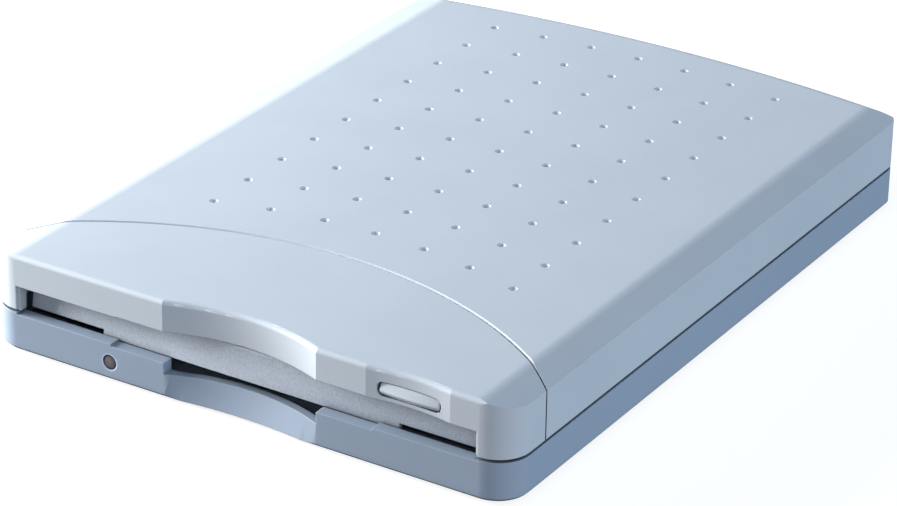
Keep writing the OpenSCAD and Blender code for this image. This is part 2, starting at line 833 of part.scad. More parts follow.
// Side view of the button's front: a long slope down to a round ridge, then a short one under it
module button_profile() {
    ridge_r = 0.5;
    upper_slope = 27;
    under_slope = 14;
    reach = 3;
    steps = 8;
    function ridge(a) = [ridge_r * (1 - cos(a)), button_ridge_z + ridge_r * sin(a)];
    polygon(concat(
        [[button_len, reach], ridge(upper_slope) + reach * [sin(upper_slope), cos(upper_slope)]],
        [for (i = [steps:-1:0]) ridge(-under_slope + (upper_slope + under_slope) * i / steps)],
        [ridge(-under_slope) + reach * [sin(under_slope), -cos(under_slope)], [button_len, -reach]]
    ));
}

module eject_button() in_place() color([0.84, 0.87, 0.89]) {
    flange_w = button_w + 2;
    flange_t = 1;
    dome_r = 32;
    tab_y = mech_y + 1.6;
    intersection() {
        translate([button_x, button_len + eps, button_z]) rotate([90, 0, 0])
            linear_extrude(button_len + 1) button_outline();
        translate([button_x, dome_r, 0]) cylinder(r = dome_r, h = body_h, $fn = fine);
        translate([button_x - button_w, 0, button_z]) rotate([90, 0, 90])
            linear_extrude(2 * button_w) button_profile();
    }
    block([button_x - flange_w / 2, button_len - eps, button_z - button_h / 2],
          [button_x + flange_w / 2, button_len + flange_t, button_z + button_h / 2 + 0.5]);
    block([button_x - stem_w / 2, button_len, stem_z],
          [button_x + stem_w / 2, tab_y, stem_z + stem_t]);
}

// ---------------------------------------------------------------- indicator

module indicator_lens() in_place() color([0.36, 0.33, 0.33]) {
    flange_t = 0.6;
    rod_y(lens_x, 0.05, lens_z, lens_d, ledge_d + flange_t);
    rod_y(lens_x, ledge_d + 0.05, lens_z, lens_d + 0.4, flange_t);
}

module indicator_lamp() in_place() color([0.55, 0.75, 0.45]) {
    lamp_d = 2.9;
    lamp_y = ledge_d + 0.9;
    lamp_len = 4.2;
    lead = 0.4;
    rod_y(lens_x, lamp_y + 0.3, lens_z, lamp_d - 0.4, lamp_len);
    rod_y(lens_x, lamp_y + lamp_len - 0.7, lens_z, lamp_d, 0.9);
    // leads that clip the edge of the main board
    for (s = [-1, 1]) {
        x = lens_x + s * 0.6;
        block([x - lead / 2, lamp_y + lamp_len, board_z - lead], [x + lead / 2, tongue_y + 0.6, board_z]);
        block([x - lead / 2, tongue_y - lead, board_z - eps], [x + lead / 2, tongue_y, board_top + lead]);
        block([x - lead / 2, tongue_y - lead, board_top], [x + lead / 2, tongue_y + 1, board_top + lead]);
    }
}

// ---------------------------------------------------------------- chassis

function wall_screw_places() = [
    for (s = [-1, 1], y = [mech_y + 8, chassis_end_y - 8]) [s * wall_screw_x, y]
];
function board_bumps() = [for (s = [-1, 1]) [s * bump_x, mech_y + 9]];

module chassis() in_place() color([0.72, 0.73, 0.75]) {
    slot_room = 2 * fit;
    tab_z = slide_plate_z + sheet_t + 0.25;
    ear_x = body_half + carriage_foot + 0.4;
    difference() {
        union() {
            block([-chassis_out, mech_y, base_z], [chassis_out, chassis_end_y, base_top]);
            mirrored_block([chassis_in, mech_y, base_z], [chassis_out, chassis_end_y, shield_z]);
            for (p = board_bumps())
                translate([p[0], p[1], base_top - eps]) cylinder(d = 4, h = bump_h + eps);
            // ears that the screening plate is screwed to
            for (p = wall_screw_places()) {
                s = sign(p[0]);
                block([min(p[0] - s * 2.4, s * chassis_out), p[1] - 3, tab_z],
                      [max(p[0] - s * 2.4, s * chassis_out), p[1] + 3, shield_z]);
            }
            // ears that hold the guide rod
            block([-rod_x - 1.6, well_y - 1, base_z], [-rod_x + 1.6, well_y + 0.8, carriage_top]);
            block([-rod_x - 1.6, bracket_y + 0.7, base_z],
                  [-rod_x + 1.6, bracket_y + 2.5, carriage_top]);
            // ear that holds the free end of the lead screw, over the carriage's path
            block([stepper_x - 2, lug_y, carriage_top + 0.2], [ear_x, lug_y + 1, stepper_z + 2]);
            block([ear_x, lug_y, base_z], [ear_x + 2, lug_y + 1, stepper_z + 2]);
            // backstop of the disk springs
            mirrored_block([spring_x - 2, spring_y + spring_len + 0.05, base_z],
                           [spring_x + 2, spring_y + spring_len + 0.05 + chassis_t, spring_z + 2]);
        }
        // well that the head carriage runs in, with the stepping motor behind it
        block([-well_half, well_y + 0.8, 0], [well_half, bracket_y + 0.7, base_top + eps]);
        block([stepper_x - stepper_d / 2 - 0.4, bracket_y + bracket_t - 0.1, 0],
              [stepper_x + stepper_d / 2 + 0.4, chassis_end_y + 1, base_top + eps]);
        translate([0, spindle_y, 0]) cylinder(d = bearing_d + 2 * seat, h = base_top + 1);
        // passage of the ribbon cable
        block([ribbon_x - 1, ribbon_y - 0.6, 0], [ribbon_x + ribbon_w + 1, ribbon_y + 1.4, base_top + 1]);
        // upright slots that guide the cradle's pins
        for (s = [-1, 1], y = [guide_front_y, guide_back_y]) {
            block([s * chassis_in - 2, y - guide_pin_d / 2 - slot_room, guide_z - drop - slot_room],
                  [s * chassis_in + 2, y + guide_pin_d / 2 + slot_room, guide_z + slot_room]);
            for (z = [guide_z - drop - slot_room, guide_z + slot_room])
                rod_x_axis(s * chassis_in - 2, y, z, guide_pin_d + 2 * slot_room, 4);
        }
        rod_y(-rod_x, 0, rod_z, rod_d + 2 * seat, body_d);
        rod_y(stepper_x, lug_y - 1, stepper_z, screw_d + 2 * fit, 4);
        for (p = chassis_pads())
            translate([p[0], p[1], 0]) cylinder(d = small_screw_d + 2 * fit, h = base_top + 1);
        for (p = board_bumps())
            translate([p[0], p[1], 0]) cylinder(d = small_screw_d + 2 * fit, h = board_z + 1);
        for (p = wall_screw_places())
            translate([p[0], p[1], tab_z - 1]) cylinder(d = small_screw_d + 2 * fit, h = body_h);
    }
}

module screening_plate() in_place() color([0.80, 0.81, 0.82]) {
    front_y = mech_y + 3;
    difference() {
        block([-chassis_out, front_y, shield_z], [chassis_out, chassis_end_y, shield_z + shield_t]);
        for (p = wall_screw_places())
            translate([p[0], p[1], 0]) cylinder(d = small_screw_d + 2 * fit, h = body_h);
        // relief over the drive hub
        translate([0, spindle_y, 0]) cylinder(d = hub_d, h = body_h);
    }
}

module screening_plate_screws() in_place() color([0.55, 0.56, 0.58]) {
    for (p = wall_screw_places())
        translate([p[0], p[1], shield_z + shield_t]) screw(2.6, 0.6, small_screw_d, 1.3);
}

module chassis_screws() in_place() color([0.55, 0.56, 0.58]) {
    for (p = chassis_pads())
        translate([p[0], p[1], base_top]) screw(2.8, 0.7, small_screw_d, base_top - pilot_floor - 0.2);
}

// ---------------------------------------------------------------- boards

module main_board() in_place() color([0.10, 0.38, 0.24]) {
    difference() {
        union() {
            block([-board_half, mech_y + 0.6, board_z], [board_half, board_end, board_top]);
            block([lens_x - 5, tongue_y, board_z], [lens_x + 5, mech_y + 1, board_top]);
        }
        for (p = board_bumps())
            translate([p[0], p[1], 0]) cylinder(d = small_screw_d + 2 * fit, h = body_h);
        for (p = switch_places()) translate([p[0], p[1], 0])
            cylinder(d = plunger_d + 2 * fit, h = body_h);
    }
}

// Flat chips with their gull-wing leads
module chip(x, y, z, w, d, h) {
    lead_out = 0.7;
    pitch = 1.6;
    count = floor((w - 1) / pitch);
    block([x - w / 2, y - d / 2, z], [x + w / 2, y + d / 2, z + h]);
    for (i = [0:count - 1])
        block([x - (count - 1) * pitch / 2 + i * pitch - 0.25, y - d / 2 - lead_out, z],
              [x - (count - 1) * pitch / 2 + i * pitch + 0.25, y + d / 2 + lead_out, z + 0.25]);
}

module main_board_parts() in_place() color([0.13, 0.13, 0.14]) {
    flat_h = 0.65;
    large_w = 12;
    large_d = 10;
    small_w = 9;
    small_d = 5;
    small_y = mech_y + 8.5;
    chip(0, small_y + 1, board_top, large_w, large_d, flat_h);
    chip(21, small_y, board_top, small_w, small_d, flat_h);
    chip(-17, small_y, board_top, small_w, small_d, flat_h);
    block([ribbon_x - 1, board_end - 3.4, board_top],
          [ribbon_x + ribbon_w + 1, board_end - 0.4, board_top + plug_h]);
}

module interface_board() in_place() color([0.10, 0.38, 0.24]) {
    half = 24;
    depth = 6.8;
    difference() {
        block([-half, interface_y, base_z], [half, interface_y + depth, interface_top]);
        for (p = interface_pads())
            translate([p[0], p[1], 0]) cylinder(d = small_screw_d + 2 * fit, h = body_h);
    }
}

module interface_board_parts() in_place() color([0.15, 0.15, 0.16]) {
    top = interface_top;
    chip(11, interface_y + 3.4, top, 6, 4, 1);
    // crystal, capacitor and the ribbon's connector
    block([-9.6, interface_y + 2.6, top], [-5.4, interface_y + 6, top + 2.6]);
    block([-15.2, interface_y + 4.4, top], [-12.8, interface_y + 6, top + 1.2]);
    block([ribbon_x - 1, interface_y + 0.2, top],
          [ribbon_x + ribbon_w + 1, interface_y + 1.5, top + plug_h]);
}

module board_screws() in_place() color([0.55, 0.56, 0.58]) {
    for (p = board_bumps())
        translate([p[0], p[1], board_top]) screw(2.6, 0.55, small_screw_d, board_top - base_z);
    for (p = interface_pads())
        translate([p[0], p[1], interface_top])
            screw(2.6, 0.6, small_screw_d, interface_top - pilot_floor - 0.2);
}

// Flat cable: under the chassis, up to both boards
module ribbon_cable() in_place() color([0.88, 0.87, 0.82]) {
    t = 0.15;
    end_x = ribbon_x + ribbon_w;
    low = floor_t + 0.1;
    front_top = board_top + plug_h;
    back_y = interface_y - 0.5;
    back_top = interface_top + plug_h;
    block([ribbon_x, ribbon_y, low], [end_x, back_y + t, low + t]);
    block([ribbon_x, ribbon_y, low], [end_x, ribbon_y + t, front_top + t]);
    block([ribbon_x, board_end - 3, front_top], [end_x, ribbon_y + t, front_top + t]);
    block([ribbon_x, back_y, low], [end_x, back_y + t, back_top + t]);
    block([ribbon_x, back_y, back_top], [end_x, interface_y + 1.5, back_top + t]);
}

// ---------------------------------------------------------------- data socket

// Front view of the socket: its lower corners are cut back
module socket_outline(grow = 0) {
    w = socket_w / 2 + grow;
    h = socket_h + grow;
    foot = 2.6 + grow;
    waist = 1.4;
    polygon([[-foot, -grow], [foot, -grow], [w, waist], [w, h], [-w, h], [-w, waist]]);
}

module socket_cut() {
    translate([0, body_d + 5, socket_z]) rotate([90, 0, 0])
        linear_extrude(12) socket_outline(socket_gap);
}

module data_socket() in_place() color([0.78, 0.79, 0.80]) {
    shell_t = 0.3;
    blind = 2.4;
    tongue_w = 3.7;
    tongue_h = 0.8;
    tongue_z = socket_z + 1.7;
    difference() {
        translate([0, socket_mouth_y, socket_z]) rotate([90, 0, 0])
            linear_extrude(socket_len) socket_outline();
        translate([0, socket_mouth_y + 1, socket_z]) rotate([90, 0, 0])
            linear_extrude(socket_len - blind + 1) socket_outline(-shell_t);
    }
    block([-tongue_w / 2, socket_back_y + blind - eps, tongue_z],
          [tongue_w / 2, socket_mouth_y - 1.2, tongue_z + tongue_h]);
}

// ---------------------------------------------------------------- spindle

module spindle_bearing() in_place() color([0.80, 0.66, 0.36]) {
    end_t = 0.3;
    difference() {
        translate([0, spindle_y, floor_t + 0.1]) cylinder(d = bearing_d, h = rotor_z - floor_t - 0.3);
        translate([0, spindle_y, floor_t + 0.1 + end_t]) cylinder(d = shaft_d + 2 * fit, h = body_h);
    }
}

module stator_board() in_place() color([0.12, 0.40, 0.30]) {
    t = 0.3;
    difference() {
        union() {
            translate([0, spindle_y, base_top]) cylinder(d = rotor_d - 2, h = t);
            block([-8, board_end + 0.6, base_top], [8, spindle_y - 10, base_top + t]);
        }
        translate([0, spindle_y, 0]) cylinder(d = bearing_d + 2 * seat, h = body_h);
    }
}

module stator_coils() in_place() color([0.72, 0.42, 0.22]) {
    count = 9;
    coil_r = 3.6;
    ring_r = 12.4;
    for (i = [0:count - 1]) translate([0, spindle_y, base_top + 0.3]) rotate([0, 0, 360 * i / count])
        translate([ring_r, 0, 0]) difference() {
            cylinder(r = coil_r, h = 0.6);
            translate([0, 0, -1]) cylinder(r = coil_r / 2.4, h = 3);
        }
}

module rotor_cup() in_place() color([0.70, 0.71, 0.73]) {
    skirt_t = 0.5;
    foot_z = base_top + 0.45;
    difference() {
        translate([0, spindle_y, foot_z])
            cylinder(d = rotor_d, h = rotor_z + rotor_t - foot_z);
        translate([0, spindle_y, 0]) cylinder(d = rotor_d - 2 * skirt_t, h = rotor_z);
        translate([0, spindle_y, 0]) cylinder(d = shaft_d + 2 * seat, h = body_h);
    }
}

module rotor_magnet() in_place() color([0.30, 0.29, 0.29]) {
    magnet_w = 1.8;
    outer = rotor_d - 1 - 2 * seat;
    translate([0, spindle_y, base_top + 0.5]) difference() {
        cylinder(d = outer, h = rotor_z - base_top - 0.5);
        translate([0, 0, -1]) cylinder(d = outer - 2 * magnet_w, h = 4);
    }
}

module drive_hub() in_place() color([0.86, 0.87, 0.88]) {
    table_h = 0.7;
    nose_top = disk_z - 0.15;
    table_z = rotor_z + rotor_t;
    pin_r = 10;
    difference() {
        union() {
            translate([0, spindle_y, table_z]) cylinder(d = hub_d, h = table_h);
            translate([0, spindle_y, table_z]) cylinder(d = nose_d, h = nose_top - table_z - 0.5);
            translate([0, spindle_y, nose_top - 0.5 - eps])
                cylinder(d1 = nose_d, d2 = nose_d - 1.2, h = 0.5 + eps);
            translate([0, spindle_y, floor_t + 0.45]) cylinder(d = shaft_d, h = table_z - floor_t);
        }
        translate([pin_r, spindle_y, table_z - 1]) cylinder(d = 2.2 + 2 * seat, h = 4);
    }
}

module drive_pin() in_place() color([0.60, 0.61, 0.63]) {
    table_z = rotor_z + rotor_t;
    translate([10, spindle_y, table_z + 0.02]) cylinder(d = 2.2, h = 1.4);
}

// ---------------------------------------------------------------- cradle and slide

// The open channel that carries the disk
module disk_cradle() in_place() color([0.76, 0.77, 0.79]) {
    lip_w = 3;
    lip_z = disk_z - sheet_t;
    front = mech_y - 0.3;
    top = cradle_top_z + sheet_t;
    stop_w = 12;
    stop_x = spring_x - 4 - stop_w;
    difference() {
        union() {
            block([-cradle_out, front, cradle_top_z], [cradle_out, cradle_end, top]);
            mirrored_block([cradle_in, front, lip_z], [cradle_out, cradle_end, top]);
            mirrored_block([cradle_in - lip_w, front, lip_z], [cradle_out, cradle_end, disk_z]);
            // turned-down stops behind the disk
            mirrored_block([stop_x, disk_end_y + 0.2, disk_z - 0.3],
                           [stop_x + stop_w, disk_end_y + 0.2 + sheet_t, top]);
        }
        // way for the heads
        block([-window_half, window_y, 0], [window_half, body_d, body_h]);
        // relief over the hub
        translate([0, spindle_y, cradle_top_z - 1]) cylinder(d = hub_d + 6, h = 4);
        // path of the shutter lever's finger
        translate([lever_x, lever_y, cradle_top_z - 1]) difference() {
            cylinder(r = lever_len + finger_d / 2 + 0.6, h = 4, $fn = 180);
            translate([0, 0, -1]) cylinder(r = lever_len - finger_d / 2 - 0.6, h = 6, $fn = 180);
            translate([-lever_len * 0.45, -60, -1]) cube([80, 120, 6]);
        }
        for (p = pin_places())
            rod_x_axis(p[0] - 2, p[1], guide_z, guide_pin_d + 2 * seat, 4);
        translate([lever_x, lever_y, 0]) cylinder(d = lever_pin_d + 2 * seat, h = body_h);
    }
}

function pin_places() = [
    for (s = [-1, 1], y = [guide_front_y, guide_back_y]) [s * cradle_out, y]
];

module cradle_guide_pins() in_place() color([0.62, 0.63, 0.65]) {
    len = chassis_out - cradle_in - 0.05;
    for (s = [-1, 1], y = [guide_front_y, guide_back_y])
        rod_x_axis(s > 0 ? cradle_in : -cradle_in - len, y, guide_z, guide_pin_d, len);
}

// The sliding frame: its flanges carry the sloping slots that raise and lower the cradle
module eject_slide() in_place() color([0.68, 0.70, 0.72]) {
    front = mech_y + 0.6;
    back = cradle_end - 2.4;
    top = slide_plate_z + sheet_t;
    flange_z = base_top + 0.1;
    slot_d = guide_pin_d + 2 * fit;
    slope = atan(drop / eject_travel);
    run = sqrt(drop * drop + eject_travel * eject_travel);
    tab_y = mech_y + 1.6;
    relief_d = 5;
    difference() {
        union() {
            block([-slide_out, front, slide_plate_z], [slide_out, back, top]);
            mirrored_block([slide_in, front, flange_z], [slide_out, back, top]);
            // tab that the button's stem bears on
            block([button_x - stem_w / 2, tab_y, slide_plate_z],
                  [button_x + stem_w / 2, tab_y + sheet_t, stem_z + stem_t]);
            // tabs that the springs push on
            mirrored_block([spring_x - 2, back - eps, slide_plate_z],
                           [spring_x + 2, spring_y - 0.1, top]);
            mirrored_block([spring_x - 2, spring_y - 0.1 - sheet_t, spring_z - 2],
                           [spring_x + 2, spring_y - 0.1, top]);
        }
        for (s = [-1, 1], y = [guide_front_y, guide_back_y])
            translate([s * slide_in - 2, y, guide_z]) rotate([-slope, 0, 0]) {
                block([0, 0, -slot_d / 2], [4, run, slot_d / 2]);
                for (c = [0, run]) rod_x_axis(0, c, 0, slot_d, 4);
            }
        // way for the upper head and its arm
        block([-window_half, window_y, 0], [window_half, body_d, body_h]);
        translate([0, spindle_y, 0]) cylinder(d = hub_d + 10, h = body_h);
        // relief over the shutter lever's pivot, as long as the slide's travel
        block([lever_x - relief_d / 2, lever_y, slide_plate_z - 1],
              [lever_x + relief_d / 2, lever_y + eject_travel, slide_plate_z + 4]);
        for (y = [lever_y, lever_y + eject_travel])
            translate([lever_x, y, slide_plate_z - 1]) cylinder(d = relief_d, h = 4);
    }
}

module eject_springs() in_place() color([0.75, 0.76, 0.78]) {
    for (s = [-1, 1]) translate([s * spring_x, spring_y, spring_z]) rotate([-90, 0, 0])
        coil_spring(3.2, 0.45, 5, spring_len);
}

// ---------------------------------------------------------------- shutter lever

module shutter_lever() in_place() color([0.82, 0.83, 0.80]) {
    arm_w = 4;
    translate([lever_x, lever_y, 0]) rotate([0, 0, lever_rest]) difference() {
        union() {
            translate([0, 0, lever_z]) cylinder(d = arm_w + 1, h = lever_t);
            block([0, -arm_w / 2, lever_z], [lever_len, arm_w / 2, lever_z + lever_t]);
            translate([lever_len, 0, lever_z]) cylinder(d = arm_w, h = lever_t);
            translate([lever_len, 0, disk_z + 0.5])
                cylinder(d = finger_d, h = lever_z - disk_z - 0.5 + eps);
        }
        cylinder(d = lever_pin_d + 2 * fit, h = body_h);
    }
}

module shutter_lever_pivot() in_place() color([0.62, 0.63, 0.65]) {
    head_h = 0.3;
    translate([lever_x, lever_y, cradle_top_z + 0.02])
        cylinder(d = lever_pin_d, h = lever_z + lever_t - cradle_top_z + 0.03);
    translate([lever_x, lever_y, lever_z + lever_t + 0.04]) cylinder(d = 3.4, h = head_h);
}

module shutter_lever_spring() in_place() color([0.75, 0.76, 0.78]) {
    translate([lever_x, lever_y, lever_z + lever_t + 0.4]) coil_spring(3.6, 0.3, 2, 1.1);
}

// ---------------------------------------------------------------- heads

module head_carriage() in_place() color([0.24, 0.25, 0.27]) {
    nose_half = 5.5;
    body_y = head_y + 10.5;
    tower_y = arm_y - 1.85;
    tower_top = arm_z + 0.9;
    neck_half = 2.5;
    neck_z = 10.4;
    foot_t = 0.7;
    nut_y = arm_y + 0.45;
    difference() {
        union() {
            block([-nose_half, head_y - 2.2, carriage_z], [nose_half, body_y + 1, carriage_top]);
            block([-body_half, body_y, carriage_z], [body_half, carriage_end, carriage_top]);
            // foot that slides on the chassis
            block([body_half - 1, body_y, base_top + fit],
                  [body_half + carriage_foot, body_y + 10, base_top + fit + foot_t]);
            // tower for the upper arm
            block([-6, tower_y, carriage_top - eps], [6, carriage_end, neck_z]);
            block([-neck_half, arm_y - 1.2, neck_z - eps], [neck_half, carriage_end - 0.6, tower_top]);
            // half nut on the lead screw
            block([5.5, nut_y, carriage_top - eps], [stepper_x, carriage_end, stepper_z + 1.4]);
        }
        rod_y(-rod_x, 0, rod_z, rod_d + 2 * fit, body_d);
        rod_y(stepper_x, 0, stepper_z, screw_d + 2 * fit, body_d);
        rod_x_axis(-10, arm_y, arm_z, arm_pin_d + 2 * fit, 20);
        // relief between the two bearings on the rod
        block([-body_half - 1, body_y + 4, 0], [-body_half + 4.5, body_y + 11, carriage_top + 1]);
    }
}

module lower_head() in_place() color([0.35, 0.33, 0.32]) {
    block([-2, head_y - 2, carriage_top], [2, head_y + 2, carriage_top + 1.6]);
    block([-1.4, head_y - 1.6, carriage_top + 1.6 - eps], [1.4, head_y + 1.6, disk_z - 0.3]);
}

module upper_head_arm() in_place() color([0.30, 0.31, 0.33]) {
    half = 3.5;
    ear_in = 2.75;
    bar_end = arm_y - 2.6;
    low = arm_z - 0.6;
    high = arm_z + 0.6;
    difference() {
        union() {
            block([-half, head_y - 2.4, low], [half, bar_end, high]);
            mirrored_block([ear_in, bar_end - eps, low], [half, arm_y, high]);
            for (s = [-1, 1])
                rod_x_axis(s > 0 ? ear_in : -half, arm_y, arm_z, 2.2, half - ear_in);
        }
        rod_x_axis(-10, arm_y, arm_z, arm_pin_d + 2 * seat, 20);
        block([-1.6, head_y + 5, low - 1], [1.6, bar_end - 4, high + 1]);
    }
}

module upper_head() in_place() color([0.35, 0.33, 0.32]) {
    low = arm_z - 0.6;
    block([-2, head_y - 2, low - 1], [2, head_y + 2, low]);
    block([-1.4, head_y - 1.6, cradle_top_z], [1.4, head_y + 1.6, low - 1 + eps]);
}

module arm_pivot_pin() in_place() color([0.62, 0.63, 0.65]) {
    rod_x_axis(-3.5, arm_y, arm_z, arm_pin_d, 7);
}

module arm_spring() in_place() color([0.75, 0.76, 0.78]) {
    block([-1.2, head_y + 1, arm_z + 0.6], [1.2, arm_y - 3.2, arm_z + 0.75]);
}

// ---------------------------------------------------------------- head drive

module guide_rod() in_place() color([0.80, 0.81, 0.83]) {
    rod_y(-rod_x, well_y - 0.9, rod_z, rod_d, bracket_y + 2.4 - well_y + 0.9);
}

module lead_screw() in_place() color([0.74, 0.72, 0.66]) {
    groove = 0.2;
    end = stepper_y + stepper_len - 1.4;
    difference() {
        rod_y(stepper_x, lug_y + 0.05, stepper_z, screw_d, end - lug_y);
        for (y = [lug_y + 1.6:0.9:bracket_y - 0.8])
            translate([stepper_x, y, stepper_z]) rotate([-90, 0, 0]) difference() {
                cylinder(d = screw_d + 1, h = 0.35);
                translate([0, 0, -1]) cylinder(d = screw_d - 2 * groove, h = 3);
            }
    }
}

module stepper_motor() in_place() color([0.66, 0.67, 0.69]) {
    blind = 1;
    difference() {
        rod_y(stepper_x, stepper_y, stepper_z, stepper_d, stepper_len);
        rod_y(stepper_x, stepper_y - 1, stepper_z, screw_d + 2 * fit, stepper_len - blind + 1);
    }
}

module stepper_bracket() in_place() color([0.72, 0.73, 0.75]) {
    foot_w = 8;
    side = stepper_x + stepper_d / 2 + 0.6;
    difference() {
        union() {
            block([stepper_x - stepper_d / 2, bracket_y, base_z + 0.2],
                  [side + foot_w, bracket_y + bracket_t, stepper_z + stepper_d / 2]);
            block([side, bracket_y, base_top], [side + foot_w, bracket_y + 6, base_top + bracket_t]);
        }
        rod_y(stepper_x, 0, stepper_z, screw_d + 0.6, body_d);
        block([well_half - 0.2, bracket_y - 1, 0], [side + foot_w + 1, bracket_y + 8, base_top]);
    }
}

// ---------------------------------------------------------------- sensing switches

function switch_places() = [[-switch_x, switch_y], [-switch_x + 6, switch_y], [switch_x, switch_y]];

module switch_bodies() in_place() color([0.18, 0.18, 0.19]) {
    for (p = switch_places()) difference() {
        block([p[0] - 1.5, p[1] - 1.5, board_top], [p[0] + 1.5, p[1] + 1.5, board_top + switch_h]);
        translate([p[0], p[1], 0]) cylinder(d = plunger_d + 2 * fit, h = body_h);
    }
}

module plunger(place) in_place() color([0.90, 0.90, 0.86]) {
    foot_z = board_z + 0.9;
    translate([place[0], place[1], foot_z]) cylinder(d = plunger_d, h = plunger_top - foot_z - 0.2);
    translate([place[0], place[1], plunger_top - 0.2 - eps])
        cylinder(d1 = plunger_d, d2 = plunger_d - 0.4, h = 0.2 + eps);
}

module density_plunger() plunger(switch_places()[0]);
module disk_in_plunger() plunger(switch_places()[1]);
module write_protect_plunger() plunger(switch_places()[2]);

// ---------------------------------------------------------------- the whole drive

top_cover();
front_bezel();
lower_shell();
slot_door();
door_spring();
eject_button();
indicator_lens();
indicator_lamp();
rubber_feet();
case_screws();
chassis();
screening_plate();
screening_plate_screws();
chassis_screws();
main_board();
main_board_parts();
interface_board();
interface_board_parts();
board_screws();
ribbon_cable();
data_socket();
spindle_bearing();
stator_board();
stator_coils();
rotor_cup();
rotor_magnet();
drive_hub();
drive_pin();
disk_cradle();
cradle_guide_pins();
eject_slide();
eject_springs();
shutter_lever();
shutter_lever_pivot();
shutter_lever_spring();
head_carriage();
lower_head();
upper_head_arm();
upper_head();
arm_pivot_pin();
arm_spring();
guide_rod();
lead_screw();
stepper_motor();
stepper_bracket();
switch_bodies();
disk_in_plunger();
write_protect_plunger();
density_plunger();
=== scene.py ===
import json
import math

import bmesh
import bpy
from mathutils import Matrix, Vector


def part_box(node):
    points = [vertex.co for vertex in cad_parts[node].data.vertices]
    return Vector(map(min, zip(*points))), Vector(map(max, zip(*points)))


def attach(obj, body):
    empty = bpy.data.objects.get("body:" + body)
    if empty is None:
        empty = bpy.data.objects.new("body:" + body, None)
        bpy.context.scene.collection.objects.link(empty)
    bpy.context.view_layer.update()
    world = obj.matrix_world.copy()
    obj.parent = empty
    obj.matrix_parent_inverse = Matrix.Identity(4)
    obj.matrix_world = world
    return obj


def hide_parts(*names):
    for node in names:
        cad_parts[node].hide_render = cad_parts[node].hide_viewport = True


MM = 0.001

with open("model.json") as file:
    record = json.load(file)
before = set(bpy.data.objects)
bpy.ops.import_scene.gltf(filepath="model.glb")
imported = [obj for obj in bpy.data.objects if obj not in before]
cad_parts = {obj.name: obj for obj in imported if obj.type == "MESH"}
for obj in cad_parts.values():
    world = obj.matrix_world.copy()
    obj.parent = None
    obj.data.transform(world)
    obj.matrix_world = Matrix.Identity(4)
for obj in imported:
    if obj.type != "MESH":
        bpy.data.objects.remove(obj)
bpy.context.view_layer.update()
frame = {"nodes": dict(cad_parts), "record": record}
nodes = frame["nodes"]


# ---------------------------------------------------------------- materials

# Noise mostly lies between these two values.
CLOUD_LOW = 0.3
CLOUD_HIGH = 0.7
CORNER_RAYS = 6
# Painted shade is darkest where ambient occlusion is at the first value and gone at the second.
PAINTED_SHADE_AO_LOW = 0.05
PAINTED_SHADE_AO_HIGH = 0.62
# Edges are paled, partly as wear and partly as a painted highlight, most at the first lean and not at all
# past the second.
WEAR_AND_HIGHLIGHT_LOW = 0.75
WEAR_AND_HIGHLIGHT_HIGH = 0.97


def new_material(name):
    """A node material with its shader and its object coordinates."""
    mat = bpy.data.materials.new(name)
    mat.use_nodes = True
    tree = mat.node_tree
    shader = tree.nodes["Principled BSDF"]
    coord = tree.nodes.new("ShaderNodeTexCoord")
    return mat, tree, shader, coord.outputs["Object"]


def plug_all(tree, values, sockets):
    """Gives each socket its value, which is a plain one or another node's output."""
    for value, socket in zip(values, sockets):
        if isinstance(value, bpy.types.NodeSocket):
            tree.links.new(value, socket)
        else:
            socket.default_value = value


def vector_math(tree, operation, *values):
    """The output of a sum on vectors: a number for a length or a dot product, otherwise a vector."""
    node = tree.nodes.new("ShaderNodeVectorMath")
    node.operation = operation
    plug_all(tree, values, node.inputs)
    return node.outputs["Value" if operation in ("LENGTH", "DOT_PRODUCT") else "Vector"]


def number_math(tree, operation, *values):
    """The output of a sum on numbers."""
    node = tree.nodes.new("ShaderNodeMath")
    node.operation = operation
    plug_all(tree, values, node.inputs)
    return node.outputs["Value"]


def multiplied(tree, first, *others):
    """Colours multiplied together."""
    for other in others:
        first = vector_math(tree, "MULTIPLY", first, other)
    return first


def tinted(colour, gain):
    return tuple(min(1.0, channel * gain) for channel in colour)


def grey(value):
    return (value, value, value)


def noise(tree, coord, size, detail=2.0, rough=0.5):
    """Noise whose features are about size metres across."""
    node = tree.nodes.new("ShaderNodeTexNoise")
    node.inputs["Scale"].default_value = 1 / size
    node.inputs["Detail"].default_value = detail
    node.inputs["Roughness"].default_value = rough
    tree.links.new(coord, node.inputs["Vector"])
    return node.outputs["Fac"]


def ramp(tree, factor, stops):
    """Colours that follow factor through stops, each a position and its colour, in rising order."""
    node = tree.nodes.new("ShaderNodeValToRGB")
    elements = node.color_ramp.elements
    while len(elements) < len(stops):
        elements.new(0.5)
    for element, (position, colour) in zip(elements, stops):
        element.position = position
        element.color = (*colour, 1)
    tree.links.new(factor, node.inputs["Fac"])
    return node.outputs["Color"]


def clouds(tree, factor, colour, darkest, lightest):
    """A colour that noise makes darker and lighter by the two gains."""
    return ramp(tree, factor, ((CLOUD_LOW, tinted(colour, darkest)), (CLOUD_HIGH, tinted(colour, lightest))))


def spread(tree, factor, low, high):
    """A value that runs from low to high with factor."""
    node = tree.nodes.new("ShaderNodeMapRange")
    node.inputs["To Min"].default_value = low
    node.inputs["To Max"].default_value = high
    tree.links.new(factor, node.inputs["Value"])
    return node.outputs["Result"]


def bump(tree, height, depth, normal=None):
    """Normals that follow a height of depth metres, on top of normal if there is one."""
    node = tree.nodes.new("ShaderNodeBump")
    node.inputs["Strength"].default_value = 1.0
    node.inputs["Distance"].default_value = depth
    tree.links.new(height, node.inputs["Height"])
    if normal is not None:
        tree.links.new(normal, node.inputs["Normal"])
    return node.outputs["Normal"]


def edge_normal(tree, radius):
    """Normals that round every edge over by radius."""
    node = tree.nodes.new("ShaderNodeBevel")
    node.samples = CORNER_RAYS
    node.inputs["Radius"].default_value = radius
    return node.outputs["Normal"]


